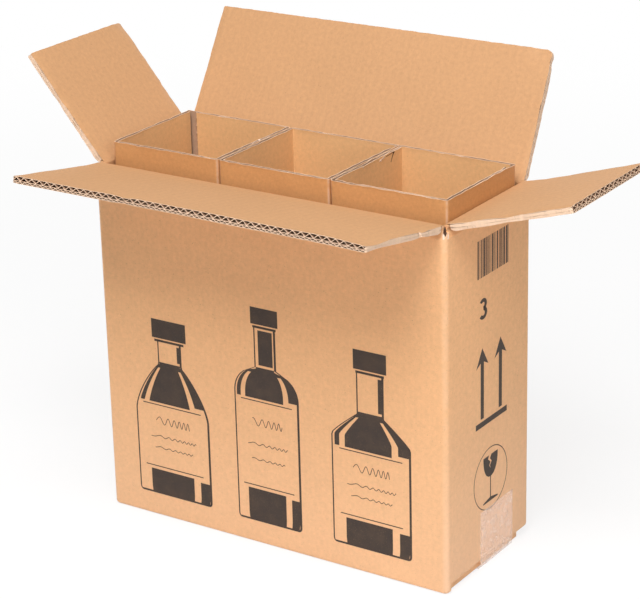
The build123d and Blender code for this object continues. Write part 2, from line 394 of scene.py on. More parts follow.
def closed_sheet(front, back):
    """Faces of a sheet between two grids of points, sewn together round the rim.

    Each grid runs across first and along second. Across times along points out of the front.
    Gives the points, the quads and their kind: 0 front, 1 back, 2 rim.
    """
    columns, rows = front.shape[:2]
    number = np.arange(columns * rows).reshape(columns, rows)
    under = number + columns * rows

    def strip(*corners):
        """Quads from the numbers of the points at their four corners."""
        return points_at(*corners).reshape(-1, 4)

    faces = [
        strip(number[:-1, :-1], number[1:, :-1], number[1:, 1:], number[:-1, 1:]),
        strip(under[:-1, :-1], under[:-1, 1:], under[1:, 1:], under[1:, :-1]),
        strip(under[:-1, 0], under[1:, 0], number[1:, 0], number[:-1, 0]),
        strip(number[:-1, -1], number[1:, -1], under[1:, -1], under[:-1, -1]),
        strip(number[0, :-1], number[0, 1:], under[0, 1:], under[0, :-1]),
        strip(under[-1, :-1], under[-1, 1:], number[-1, 1:], number[-1, :-1]),
    ]
    kinds = np.concatenate([np.full(len(f), min(k, 2)) for k, f in enumerate(faces)])
    points = np.concatenate([front.reshape(-1, 3), back.reshape(-1, 3)])
    return points, np.concatenate(faces), kinds


def make_piece(name, sheets, materials):
    """One object from sheets of (front, back, place on the flat sheet, materials of front, back
    and rim)."""
    points, quads, looks, places = [], [], [], []
    count = 0
    for front, back, flat, look in sheets:
        spots, faces, kinds = closed_sheet(front, back)
        points.append(spots)
        quads.append(faces + count)
        looks.append(np.asarray(look)[kinds])
        places.append(np.tile(flat.reshape(-1, 2), (2, 1)))
        count += len(spots)
    quads = np.concatenate(quads)
    mesh = bpy.data.meshes.new(name)
    mesh.from_pydata(np.concatenate(points), [], quads)
    for made in materials:
        mesh.materials.append(made)
    mesh.polygons.foreach_set("material_index", np.concatenate(looks).astype(np.int32))
    flat_map = mesh.uv_layers.new(name="sheet")
    flat_map.data.foreach_set("uv", np.concatenate(places)[quads.ravel()].astype(np.float32).ravel())
    mesh.update()
    mesh.shade_smooth()
    mesh.set_sharp_from_angle(angle=sharp_angle)
    piece = bpy.data.objects.new(name, mesh)
    scene.collection.objects.link(piece)
    return piece


def waver(seed, size, u, v=0.0):
    """Unevenness from about -1 to 1: a sum of sines about size long, with seeded directions."""
    draw = np.random.default_rng(seed)
    total = 0.0
    for _ in range(6):
        heading, phase = draw.uniform(0, 2 * np.pi, 2)
        length = size * draw.uniform(0.6, 1.8)
        way = u * np.cos(heading) + v * np.sin(heading)
        total = total + np.sin(2 * np.pi * way / length + phase)
    return total / 3.0


def rise(value, low, high):
    """0 below low, 1 above high, and smooth between."""
    share = np.clip((value - low) / (high - low), 0, 1)
    return share * share * (3 - 2 * share)


def flute_wave(across, pitch):
    """The zigzag of fluting paper, from -1 to 1, with its tips just rounded."""
    point = 0.96
    return np.arcsin(point * np.sin(2 * np.pi * across / pitch)) / np.arcsin(point)


def flap_frame(side):
    """A flap's joint and hinge, the directions across it and outwards from its panel, the angle
    by which it leans outwards, and its width along the fold."""
    joint = folds[side + "_fold"]
    axis = np.array(joint["axis"], float)
    lean = np.radians(-joint["range_deg"][0])
    low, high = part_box("top_flap_" + side)
    width = abs(np.dot(np.array(high - low), axis))
    return joint, np.array(joint["pos_m"], float), -axis, np.cross(axis, upwards), lean, width


def dome(across, along, x, y, radius, height):
    """A rounded bump: height * exp(-(distance from (x, y) / radius) ** 2)."""
    return height * np.exp(-((across - x) ** 2 + (along - y) ** 2) / radius**2)


def crushed(across, along, width, seed, dents):
    """How far the board is crushed, from 0 to 1: along its side edges, a little all over, and in
    each dent (across, along, radius, depth) by a dome."""
    edge = width / 2 - np.abs(across)
    margin = crushed_margin * (1 + 0.45 * waver(seed, 0.03, along))
    share = edge_crush * (1 - rise(edge, 0.0, margin)) * (1 + 0.35 * waver(seed + 1, 0.022, along))
    share = share + handled_crush * (1 + waver(seed + 2, 0.05, across, along))
    for x, y, radius, depth in dents:
        share = share + dome(across, along, x, y, radius, depth)
    return np.clip(share * rise(along, root_start, root_end), 0, most_crush)


def board_levels(level, along, share):
    """Where a level of the flat board ends up: squeezed towards the printed liner by crushing,
    and above the slope that the fold crushes into the printed side at the root."""
    settled = level * (1 - share) - 0.25 * half_board * share
    slope = -np.minimum(half_board, along * np.tan(relief_angle))
    return half_board - (half_board - settled) * (half_board - slope) / board


def layer_grid(width, pitch, bites):
    """Places across and along one layer, close together at its edges and at each bite. A flute
    has twelve steps to a wave, and fewer along it."""
    near_side = np.array([0.0, 0.0006, 0.0015, 0.0028, 0.0042, 0.0058])
    near_fold = np.linspace(root_start, 0.009, 4)
    near_end = flap_length - np.array([0.013, 0.0085, 0.0055, 0.003, frayed_reach, 0.0])
    if pitch:
        across = np.linspace(-width / 2, width / 2, int(12 * width / pitch))
        middle = np.linspace(0.014, flap_length - 0.018, 7)
    else:
        plain = np.linspace(0.0078 - width / 2, width / 2 - 0.0078, int(width / 0.003))
        across = np.concatenate([near_side - width / 2, plain, width / 2 - near_side[::-1]])
        middle = np.linspace(0.012, flap_length - 0.016, 26)
    near_bites = [spot + reach * np.linspace(-1.6, 1.6, 5) for _, spot, _, reach in bites[:1]]
    along = np.sort(np.concatenate([near_fold, middle, near_end, *near_bites]))
    return grid(across, along)


def worn_outline(across, along, width, bites, knocked, taper):
    """The outline after cutting and wear. One side is set in evenly towards the free end, by taper
    (side, amount). At a bite (side, along, depth, reach) the edge is set back by
    depth * exp(-(distance / reach) ** 2). A knocked corner (side, radius) is rounded."""
    edge = rise(np.abs(across), width / 2 - 0.005, width / 2)
    tapered_side, amount = taper
    set_in = (tapered_side * across / width + 0.5) * along / flap_length
    worn = across - tapered_side * amount * set_in
    for side, spot, depth, reach in bites:
        near = edge * (side * across > 0)
        worn = worn - side * near * depth * np.exp(-(((along - spot) / reach) ** 2))
    cut = 0.0
    for side, radius in knocked:
        into = np.clip(radius - width / 2 + side * across, 0, radius)
        cut = cut + radius - np.sqrt(radius**2 - into**2)
    return worn, along - cut * rise(along, 0.6 * flap_length, flap_length)


def flap_layers(width, seed, bites, knocked, taper):
    """The five layers of one flap as (across, along, level, half thickness, name). A flute's level
    is its zigzag, which has a whole number of waves and flattens where the die squashed it."""
    layers = (
        ("printed", -half_board + liner / 2, 0, 0),
        ("middle", -half_board + 1.5 * liner + fine_height, 0, 0),
        ("inner", half_board - liner / 2, 0, 0),
        ("fine", -half_board + liner + fine_height / 2, fine_height, fine_pitch),
        ("coarse", half_board - liner - coarse_height / 2, coarse_height, coarse_pitch),
    )
    for number, (name, level, height, pitch) in enumerate(layers):
        across, along = layer_grid(width, pitch, bites)
        near_end = rise(along, flap_length - 0.012, flap_length)
        near_side = rise(np.abs(across), width / 2 - 0.002, width / 2)
        ragged = end_ragged * waver(seed + 10 + number, 0.004, across) - end_inset
        shabby = side_ragged * waver(seed + 20 + number, 0.006, along) - side_inset
        cut = np.minimum(width / 2 - np.abs(across), flap_length - along)
        half = liner / 2 + 0 * across
        middle = np.full_like(across, level)
        if pitch:
            squashed = rise(np.abs(across), width / 2 - squashed_reach, width / 2 - 0.0003)
            mass = squashed_share * height * squashed
            half = fluting_paper / 2 + frayed_growth * (1 - rise(cut, 0, frayed_reach))
            half = half + mass * (1 + 0.25 * waver(seed + 40, 0.007, along))
            whole = width / round(width / pitch)
            inward = 1 - rise(np.abs(across), width / 2 - 2 * pitch, width / 2)
            drift = 0.12 * pitch * waver(seed + 30 + number, 0.05, across) * inward
            wave = flute_wave(across + width / 2 - whole / 4 + drift, whole)
            middle = middle + (height - fluting_paper) / 2 * wave * (1 - squashed)
        spread = across + shabby * np.sign(across) * near_side
        ends = along + ragged * near_end
        spread, ends = worn_outline(spread, ends, width, bites, knocked, taper)
        yield spread, ends, middle, half, name


def make_flap(side, seed, dents, bites, knocked, bends=(), taper=(1, 0.0)):
    """One flap: each layer is a closed sheet, squeezed where the board is crushed, and carried to
    the fold's place and lean. A bend (across, along, radius, lift) lifts the board by a dome."""
    joint, hinge, sideways, outward, lean, width = flap_frame(side)
    lengthways = np.cos(lean) * upwards + np.sin(lean) * outward
    normal = np.sin(lean) * upwards - np.cos(lean) * outward
    sheets = []
    for across, along, level, half, layer in flap_layers(width, seed, bites, knocked, taper):
        share = crushed(across, along, width, seed, dents)
        lift = board_warp * waver(seed + 3, 0.16, across, along) * rise(along, 0.01, flap_length)
        for x, y, radius, height in bends:
            lift = lift + dome(across, along, x, y, radius, height)
        sides = []
        for step in (half, -half):
            height = board_levels(level + step, along, share) + lift
            spots = hinge + across[..., None] * sideways + along[..., None] * lengthways
            sides.append(spots + height[..., None] * normal)
        look = {"inner": (0, 2, 3), "printed": (2, 1, 3)}.get(layer, (2, 2, 3))
        flat = points_at(across, along)
        sheets.append((*sides, flat, look))
    finishes = (flap_inside, flap_outside, fluting, cut_edge)
    piece = make_piece(side + "_flap", sheets, finishes)
    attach(piece, joint["child"])
    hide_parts("top_flap_" + side)
    return piece


flap_inside = paper("kraft_inside", inside_colour_with_painted_shade, coarse_pitch, 0.011)
flap_outside = paper("kraft_outside", print_colour, fine_pitch, 0.007)
fluting = paper("fluting_paper", flute_colour_with_painted_shade, coarse_pitch, 0.0)
cut_edge = paper("cut_paper_edge", cut_colour, coarse_pitch, 0.0, fleck=0.45)

# Across is counted from the middle of a flap to its ends. The right ends of the wide flaps, where
# the carton has been handled most, are the worn ones: minus in front and plus at the back.
wide_end = 0.1546
side_end = 0.0568
make_flap(
    "front", 11,
    dents=(
        (-wide_end, 0.030, 0.006, 0.3), (-wide_end, 0.088, 0.016, 0.24), (0.05, 0.103, 0.006, 0.3)
    ),
    bites=((-1, 0.0315, 0.0024, 0.0011), (-1, 0.0350, 0.0007, 0.0016), (-1, 0.071, 0.0006, 0.002)),
    knocked=((-1, 0.0022), (1, 0.0012)),
    bends=((-wide_end, 0.104, 0.020, -0.0009),),
)
make_flap(
    "back", 23,
    dents=((wide_end, 0.100, 0.012, 0.45), (wide_end - 0.016, 0.104, 0.006, 0.25)),
    bites=((1, 0.097, 0.0006, 0.003), (1, 0.058, 0.0004, 0.004)),
    knocked=((1, 0.0055), (-1, 0.0018)),
    bends=((wide_end, 0.104, 0.014, 0.0012),),
    taper=(1, 0.0045),
)
make_flap(
    "left", 37,
    dents=((side_end, 0.100, 0.008, 0.30), (-side_end, 0.060, 0.006, 0.25)),
    bites=((1, 0.040, 0.0005, 0.002),),
    knocked=((1, 0.0024), (-1, 0.0015)),
)
make_flap(
    "right", 51,
    dents=((side_end, 0.052, 0.007, 0.25), (-side_end, 0.103, 0.006, 0.35)),
    bites=((1, 0.063, 0.0006, 0.0014), (-1, 0.099, 0.0007, 0.002)),
    knocked=((1, 0.0016), (-1, 0.0020)),
    bends=((-side_end, 0.104, 0.008, 0.0016),),
    taper=(-1, 0.0035),
)

# The creases of the top flaps: the inner liner runs over the fold from the wall to the flap, and
# stretches and wrinkles there as the flap turns. It hides the gap between the two.
fold_radius = half_board + 0.00006
strip_paper = 0.00010
strip_reach = 0.0085
strip_sink = 0.00035
strip_inset = 0.0002
strip_wrinkle = 0.00005


def fold_strip(side):
    """A strip of liner: up the wall's inner face, round an arc about the fold axis to the flap's
    inner face and along it. Its two ends sink into the liners below."""
    joint, hinge, sideways, outward, lean, width = flap_frame(side)
    below = np.linspace(-strip_reach, 0.0, 6)[:-1]
    beyond = np.linspace(0.0, strip_reach, 6)[1:]
    arc = np.linspace(0.0, lean, 14)
    angle = np.concatenate([0 * below, arc, lean + 0 * beyond])
    slide = np.concatenate([below, 0 * arc, beyond])
    run = np.concatenate([below, arc * fold_radius, lean * fold_radius + beyond])
    across = np.linspace(strip_inset - width / 2, width / 2 - strip_inset, int(width / 0.0025))
    sink = rise(np.abs(slide), 0.3 * strip_reach, strip_reach)
    out = np.sin(angle)[:, None] * upwards - np.cos(angle)[:, None] * outward
    tangent = np.sin(angle)[:, None] * outward + np.cos(angle)[:, None] * upwards
    line = hinge + slide[:, None] * tangent
    wrinkle = strip_wrinkle * waver(7, 0.006, across[:, None], run[None, :] * 3)
    radius = fold_radius + strip_paper - strip_sink * sink + wrinkle * (1 - sink)
    sides = []
    for depth in (0.0, strip_paper):
        spots = line[None] + (radius - depth)[..., None] * out[None]
        sides.append(spots + across[:, None, None] * sideways)
    flat = points_at(*grid(across, run))
    piece = make_piece(side + "_crease", [(*sides, flat, one_finish)], (flap_inside,))
    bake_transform(piece)
    return piece


for side in ("front", "back", "left", "right"):
    fold_strip(side)

# The three sleeves: each a strip of single-wall board with level flutes, folded square round one
# bottle. Only its outer liner reaches the back corner where the ends meet. The rims show two
# liners with the flute between, which has worn lower than they in places.
outside_colour = linear(198, 144, 92)
room_colour = linear(222, 174, 122)
sleeve_wall = 0.0030
sleeve_liner = 0.00045
sleeve_pitch = 0.0064
sleeve_corner = 0.0024
sleeve_seam = 0.0068
rim_band = 0.030
liner_wear, liner_nick, flute_wear = 0.00022, 0.0005, 0.0020
liner_wave = 0.00016
sleeve_low, sleeve_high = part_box("sleeve_left")
sleeve_side = sleeve_high.x - sleeve_low.x


def square_path(half, radius, seam):
    """Points round a square with rounded corners, their outward directions and how far along
    they are in sides, so that corners come at whole numbers. It starts beside the back left
    corner, runs along the back, the right, the front and the left, and stops at the seam."""
    side_points, corner_points = 44, 7
    flat = half - radius
    centres = np.array([(flat, flat), (flat, -flat), (-flat, -flat)])
    starts = np.array([(-half + seam, half), (half, flat), (flat, -half), (-half, -flat)])
    ends = np.array([(flat, half), (half, -flat), (-flat, -half), (-half, flat + radius)])
    normals = np.array([(0, 1), (1, 0), (0, -1), (-1, 0)], float)
    points, outs, places = [], [], []
    for side in range(4):
        share = np.linspace(0, 1, side_points)[:, None]
        straight = starts[side] * (1 - share) + ends[side] * share
        heading = np.array([normals[side][1], -normals[side][0]])
        points.append(straight)
        outs.append(np.tile(normals[side], (side_points, 1)))
        places.append(side + (straight @ heading / half + 1) / 2)
        if side < 3:
            first = np.pi / 2 * (1 - side)
            angle = np.linspace(first, first - np.pi / 2, corner_points)[1:-1]
            direction = points_at(np.cos(angle), np.sin(angle))
            points.append(centres[side] + radius * direction)
            outs.append(direction)
            places.append(side + 1 + np.linspace(-1, 1, corner_points)[1:-1] * radius / 2 / half)
    return np.concatenate(points), np.concatenate(outs), np.concatenate(places)


def make_sleeve(side, seed, quarter_turns):
    """One sleeve: outer liner, inner liner and, near the upper rim, the level flutes between. A
    layer stands off the middle of the wall by its own wave, and its rim is frayed thicker."""
    low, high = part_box("sleeve_" + side)
    middle = np.array(low + high)[:2] / 2
    half = sleeve_side / 2
    top = high.z
    turn = np.linalg.matrix_power(np.array([[0.0, 1.0], [-1.0, 0.0]]), quarter_turns)
    sheets = []
    layers = (
        ("outer", half - sleeve_liner / 2, sleeve_liner, sleeve_corner),
        ("inner", half - sleeve_wall + sleeve_liner / 2, sleeve_liner, 0.0006),
        ("flute", half - sleeve_wall / 2, fluting_paper, 0.0012),
    )
    for number, (layer, offset, thickness, radius) in enumerate(layers):
        seam = 0.0003 if layer == "outer" else sleeve_seam
        path, out, place = square_path(offset, radius, seam)
        run = place * sleeve_side
        near_rim = top - np.array([0.012, 0.006, 0.0025, 0.0012, 0.0005, 0.0])
        heights = np.concatenate([np.linspace(low.z, top - 0.02, 10), near_rim])
        if layer == "flute":
            heights = np.concatenate([np.linspace(top - rim_band, top - 0.0007, 54), [top]])
        along, level = grid(run, heights)
        near_top = rise(level, top - 0.004, top)
        worn = liner_wear * (1 + waver(seed + number, 0.012, along)) * near_top
        worn = worn + liner_nick * rise(waver(seed + 3, 0.03, along), 0.75, 1.4) * near_top
        shift = liner_wave * waver(seed + 5 + number, 0.03, along, level)
        shift = shift * rise(level, top - 0.05, top)
        if layer == "flute":
            drift = 0.55 * waver(seed + 9, 0.12, along)
            swing = (sleeve_wall - 2 * sleeve_liner - fluting_paper) / 2
            shift = swing * flute_wave(level + sleeve_pitch * drift, sleeve_pitch)
            stretch = rise(waver(seed + 4, 0.09, along), -0.3, 0.3)
            worn = worn + (0.0003 + flute_wear * stretch) * near_top
        half_paper = thickness / 2 + 0.00010 * rise(level, top - frayed_reach, top)
        sides = []
        for step in (-half_paper, half_paper):
            spots = path[:, None, :] + (shift + step)[..., None] * out[:, None, :]
            spots = spots @ turn.T + middle
            sides.append(points_at(spots[..., 0], spots[..., 1], level - worn))
        look = {"outer": (2, 0, 3), "inner": (1, 2, 3), "flute": (2, 2, 3)}[layer]
        flat = points_at(level, along)
        sheets.append((*sides, flat, look))
    finishes = (sleeve_outside, sleeve_inside, fluting, cut_edge)
    piece = make_piece(side + "_sleeve", sheets, finishes)
    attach(piece, "carton")
    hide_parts("sleeve_" + side)
    return piece


def rubbed_corners(tree, place):
    """How pale a sleeve's corners are, by the distance from the nearest whole side."""
    along = put(tree, "SeparateXYZ", {0: place}).outputs["Y"]
    distance = reckon(tree, "PINGPONG", along, sleeve_side / 2)
    fold = smooth_step(tree, distance, 0.0016, 0.0003)
    patches = smooth_step(tree, grain(tree, place, 8, detail=4, rough=0.65), 0.30, 0.60)
    return times(tree, fold, added(tree, 0.10, times(tree, patches, 0.35)))


sleeve_outside = paper("kraft_sleeve", outside_colour, sleeve_pitch, 0.006, wear_and_painted_light=rubbed_corners)
sleeve_inside = paper("kraft_sleeve_room", room_colour, sleeve_pitch, 0.006)
make_sleeve("left", seed=61, quarter_turns=0)
make_sleeve("middle", seed=71, quarter_turns=1)
make_sleeve("right", seed=81, quarter_turns=1)

# Torn paper: where the sleeves were pushed in, the right one's liner has split below the rim, a
# fleck of it stands off, and another hangs on the rim between two sleeves. More is torn up at the
# carton's front right corner, where the slot between two flaps ends. The split itself is no hole:
# dark films on the liner are painted shade where it opens.
torn_colour = linear(236, 212, 190)
# painted shade: the dark colour of the films in the split and at the slot's foot
painted_hole_shade_colour = linear(70, 46, 30)
torn_thick = 0.0002
split_proud = 0.00028
split_thick = 0.0003


def curled_fleck(foot, directions, width, height, curl, seed):
    """A torn scrap: a sheet on two directions, narrowing unevenly upwards, whose distance from
    the board grows as curl * (height share) ** 2."""
    share, level = grid(np.linspace(-0.5, 0.5, 9), np.linspace(0, 1, 9))
    narrow = 1 - 0.55 * level * (1 + 0.4 * waver(seed, 0.5, level))
    aside = width * share * narrow + 0.12 * width * waver(seed + 1, 0.9, level)
    lift = height * (level + 0.12 * waver(seed + 2, 0.4, share))
    away = curl * level**2 + 0.1 * curl * waver(seed + 3, 0.5, share, level)
    across, up, out = np.array(directions, float)
    spots = np.array(foot) + aside[..., None] * across + lift[..., None] * up
    spots = spots + away[..., None] * out
    return spots - torn_thick * np.cross(up, across), spots, points_at(aside, lift), one_finish


torn_paper = paper("torn_paper", torn_colour, sleeve_pitch, 0.0)
painted_hole_shade = paper("split_shadow", painted_hole_shade_colour, sleeve_pitch, 0.0, fleck=0.1)
right_low, right_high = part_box("sleeve_right")
wall_x = right_low.x + sleeve_wall
divider_x = sleeve_high.x - 0.0012
rim_z = right_high.z
corner = np.array([half_length, -half_depth, shell_high.z])
rearwards, rightwards, leftwards = (0, 1, 0), (1, 0, 0), (-1, 0, 0)
round_fold, off_fold = (0.866, 0.5, 0), (0.5, -0.866, 0)
on_liner = (rearwards, upwards, rightwards)
on_rim = (rearwards, upwards, leftwards)
on_fold = (round_fold, upwards, off_fold)
# name, foot of the scrap, its directions across, up and out, width, height, curl, seed
flecks = (
    ("sleeve_fleck", (wall_x, 0.0160, rim_z - 0.0036), on_liner, 0.0030, 0.0026, 0.0016, 3),
    ("sleeve_scrap", (wall_x, 0.0205, rim_z - 0.0022), on_liner, 0.0022, 0.0016, 0.0008, 9),
    ("sleeve_shred", (wall_x, -0.0085, rim_z - 0.0020), on_liner, 0.0014, 0.0012, 0.0006, 12),
    ("rim_scrap", (divider_x, 0.009, rim_z - 0.0012), on_rim, 0.0040, 0.0014, 0.0012, 15),
    ("slot_scrap_front", corner + (-0.0022, 0.0006, -0.0094), on_fold, 0.0015, 0.0042, 0.0005, 21),
    ("slot_scrap_right", corner + (0.0, 0.0030, -0.0092), on_liner, 0.0018, 0.0036, 0.0004, 27),
)
for name, *shape in flecks:
    scrap = make_piece(name, [curled_fleck(*shape)], (torn_paper,))
    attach(scrap, "carton")


def split_shade_field(low_edge, high_edge):
    """A split in the right sleeve's left wall, between two curves given as y and depth below the
    rim: a dark film that lies on the liner, painted shade where the split opens."""
    edges = np.array([low_edge, high_edge]) / metre_mm
    across, up = edges[..., 0], rim_z - edges[..., 1]
    front = points_at(wall_x + split_proud, across, up)
    return front, front - [split_thick, 0, 0], points_at(across, up), one_finish


split_shade_films = (
    split_shade_field(
        [(30.5, 7.8), (32.0, 5.0), (33.2, 2.4), (34.0, 0.9)],
        [(30.9, 7.8), (32.5, 5.0), (34.4, 2.4), (36.6, 0.9)],
    ),
    split_shade_field(
        [(24.0, 1.7), (28.0, 1.3), (31.0, 0.9), (34.4, 0.4)],
        [(24.0, 1.9), (28.0, 1.7), (31.0, 1.4), (34.4, 1.0)],
    ),
)
# the split's dark films, painted shade
split = make_piece("sleeve_split_shade", split_shade_films, (painted_hole_shade,))
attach(split, "carton")

# The foot of the slot between the front and right flaps, where the die has cut through the board
# and the paper has ripped a little below it. Dark films there are painted shade: the shade in the
# open flutes of the cut and in the rip.
wall_fold_radius = 0.0045
slot_drop = 0.0049  # from the top of the wrap's crushed fold to the slot's foot
slot_film = 0.00006
floor_turns = (-66, -16)  # angles about the upright fold, in degrees from +X
hole_radius, hole_thick, hole_height = 0.0026, 0.0002, 0.0042
hole_turn, hole_spread = -33, 26
rip_turn, rip_depth = -42, 0.0024
fold_middle = np.array([half_length - wall_fold_radius, wall_fold_radius - half_depth])


def round_corner(radius, degrees, up):
    """Points at a radius about the upright fold's axis, at an angle from +X and a height."""
    angle = np.radians(degrees)
    x, y = fold_middle
    return points_at(x + radius * np.cos(angle), y + radius * np.sin(angle), up)


def slot_shade_films():
    """The cut's floor, a fan about the fold's axis, its upright wall of open flutes, part of a
    tube about that axis whose height falls as 1 - 0.8 * share ** 2 to both sides, and the rip
    below, a film round the fold that narrows evenly downwards. All three are dark films of
    painted shade."""
    floor_up = shell_high.z - slot_drop
    reach = np.linspace(0.0012, wall_fold_radius - 0.0001, 6)
    radius, angle = grid(reach, np.linspace(*floor_turns, 12))
    top = round_corner(radius, angle, floor_up + slot_film)
    fan = (top, top - [0, 0, slot_film], points_at(radius, angle * mm), one_finish)

    share, level = grid(np.linspace(-1, 1, 11), np.linspace(0, 1, 5))
    angle = hole_turn + hole_spread * share
    up = floor_up + hole_height * level * (1 - 0.8 * share**2)
    sides = [round_corner(radius, angle, up) for radius in (hole_radius, hole_radius - hole_thick)]
    hole = (*sides, points_at(angle * mm / 10, up), one_finish)

    share, level = grid(np.linspace(-1, 1, 7), np.linspace(0, 1, 5))
    angle = rip_turn + share * (2 + 14 * level)
    up = floor_up + slot_film + rip_depth * (level - 1)
    sides = [round_corner(wall_fold_radius + step, angle, up) for step in (slot_film, -slot_film)]
    rip = (*sides, points_at(share, level) * mm, one_finish)
    return fan, hole, rip


# dark films of painted shade at the slot's foot
slot_foot_shade = make_piece("slot_foot_shade", slot_shade_films(), (painted_hole_shade,))
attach(slot_foot_shade, "carton")

# The print: one dark ink, pressed straight on to the liner, so that it is thin in places and
# broken by the paper's fibres. On the front stand three plain bottle figures, in millimetres.
ink_colour = linear(55, 48, 45)
ink_gap = 0.00002
ink_film = 0.00003
ink_roughness, ink_gloss = 0.65, 0.25
left_line, right_line = 1.1, 1.9  # widths of a figure's two outlines


def on_front(across, up, proud):
    """Points on the front panel, from the middle of its foot, standing proud by that much."""
    return points_at(across, -half_depth - proud, up)


def on_right(across, up, proud):
    """Points on the right side panel, counted in the same way."""
    return points_at(half_length + proud, across, up)


def between(left, right):
    """An inked field between two curves of points, both from below upwards or anticlockwise."""
    return np.array([left, right]) * mm


def on_side(side, outer, inner):
    """The field between an outer and an inner curve, on the left (-1) or right (1) of a middle."""
    return between(outer, inner) if side < 0 else between(inner, outer)


def bar(left, right, low, high):
    """An upright inked rectangle."""
    return between([(left, low), (left, high)], [(right, low), (right, high)])


def stroke(points, width):
    """A line of that width through points: each is moved sideways by half of it."""
    run = np.gradient(points, axis=0)
    run /= np.linalg.norm(run, axis=1)[:, None]
    aside = points_at(run[:, 1], -run[:, 0]) * width / 2
    return between(points - aside, points + aside)


def ring(centre, radius, width, first, last, wide=1.0):
    """Part of a ring between two angles in degrees, stretched sideways by wide."""
    angle = np.radians(np.linspace(first, last, max(8, int(abs(last - first) / 4))))
    spoke = points_at(wide * np.cos(angle), np.sin(angle))
    return between(centre + (radius - width) * spoke, centre + radius * spoke)


def make_print(name, fields, panel):
    """One piece of all the fields on a panel, each a thin closed film just off the paper."""
    sheets = []
    for field in fields:
        across, up = field[..., 0], field[..., 1]
        front = panel(across, up, ink_gap + ink_film)
        back = panel(across, up, ink_gap)
        sheets.append((front, back, field, one_finish))
    piece = make_piece(name, sheets, (ink,))
    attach(piece, "carton")
    return piece


ink, tree = blank_material("flexo_ink")
place, _ = on_sheet(tree)
thin = smooth_step(tree, grain(tree, place, 0.9, detail=3, rough=0.6), 0.60, 0.74)
worn = smooth_step(tree, grain(tree, place, 14, detail=3), 0.35, 0.75)
thin = times(tree, thin, 0.20)
share = added(tree, 0.015, thin, times(tree, worn, 0.025))
tone = put(tree, "Mix", {0: share, 6: ink_colour, 7: print_colour}, data_type="RGBA")
sockets = {"Roughness": ink_roughness, "Specular IOR Level": ink_gloss}
sockets["Base Color"] = tone.outputs[2]
surface(tree, sockets)


def bottle_fields(
    centre, foot, body, shoulder, neck_foot, neck_top, top, neck, cap, bend, label, dark_neck
):
    """A plain bottle figure.

    Half its width is body up to the shoulder, and falls to neck at neck_foot as
    neck + (body - neck) * (1 - q ** a) ** b, where q runs from 0 to 1 and bend is (a, b).
    """
    low_label, high_label = label
    shade_left, shade_right = -0.66, 0.52
    base = foot + 1.6
    collar = neck_foot - 3

    def half(up):
        """Half the width, which the round corners of the foot take in."""
        share = np.clip((up - shoulder) / (neck_foot - shoulder), 0, 1)
        wide = neck + (body - neck) * (1 - share ** bend[0]) ** bend[1]
        foot_share = np.clip((up - foot) / 4.0, 0, 1)
        return wide - 3.0 * (1 - np.sqrt(1 - (1 - foot_share) ** 2))

    def field(low, high, left, right, steps=24):
        """An inked field between two shares of the half width, clear of the outlines."""
        up = np.linspace(low, high, steps)
        wide = half(up)
        first = np.maximum(left * wide, left_line - wide)
        last = np.minimum(right * wide, wide - right_line)
        return between(points_at(centre + first, up), points_at(centre + last, up))

    def edge(side, width):
        """The outline on one side: from the half width inwards by the line's width."""
        rounded = np.linspace(foot, foot + 5, 12)
        up = np.concatenate([rounded, np.linspace(foot + 5, neck_top - 0.8, 60)[1:]])
        wide = half(up)
        outer = points_at(centre + side * wide, up)
        return on_side(side, outer, points_at(centre + side * (wide - width), up))

    fields = [
        edge(-1, left_line),
        edge(1, right_line),
        field(foot, base, -1, 1, steps=8),
        field(base, low_label - 2.5, shade_left, shade_right, steps=6),
        field(base, low_label - 4.5, 0.70, 1, steps=6),
        field(high_label + 2.5, collar, -0.92, -0.80),
        field(high_label + 2.5, collar, shade_left, shade_right),
        field(high_label + 5.0, collar, 0.68, 1),
        field(collar, neck_foot + 2.0, -1, 1, steps=8),
        field(neck_foot + 4.0, neck_top - 2.4, *dark_neck, steps=8),
        bar(centre - cap, centre + cap, neck_top + 2.2, top),
        bar(centre - 0.86 * cap, centre + 0.86 * cap, neck_top - 0.8, neck_top + 1.1),
    ]
    for rule in (high_label, low_label):
        fields.append(bar(centre - 0.8 * body, centre + 0.78 * body, rule, rule + 0.8))
    middle = (low_label + high_label) / 2
    for lift, share, height in ((0.26, 0.46, 3.0), (0.0, 0.62, 0.9), (-0.18, 0.52, 0.7)):
        reach = np.linspace(-share, share, 120) * body
        line = middle + lift * (high_label - low_label)
        line = line + height * np.sin(reach * (1.1 + 0.02 * reach))
        fields.append(stroke(points_at(centre + reach, line), 0.55))
    return fields


bottles = (
    dict(centre=-93.6, foot=20, body=35.8, shoulder=92, neck_foot=134, neck_top=154, top=172,
         neck=11.5, cap=16.5, bend=(1.5, 0.9), label=(44, 98), dark_neck=(0.62, 0.86)),
    dict(centre=-2.0, foot=19.5, body=30.0, shoulder=128, neck_foot=149, neck_top=184, top=200,
         neck=10.0, cap=12.5, bend=(2.0, 0.5), label=(50, 122), dark_neck=(-0.62, 0.70)),
    dict(centre=92.2, foot=20.5, body=35.2, shoulder=112, neck_foot=132, neck_top=166, top=184,
         neck=12.0, cap=14.5, bend=(1.15, 1.0), label=(46, 100), dark_neck=(0.58, 0.84)),
)
front_fields = [field for bottle in bottles for field in bottle_fields(**bottle)]
make_print("front_print", front_fields, on_front)

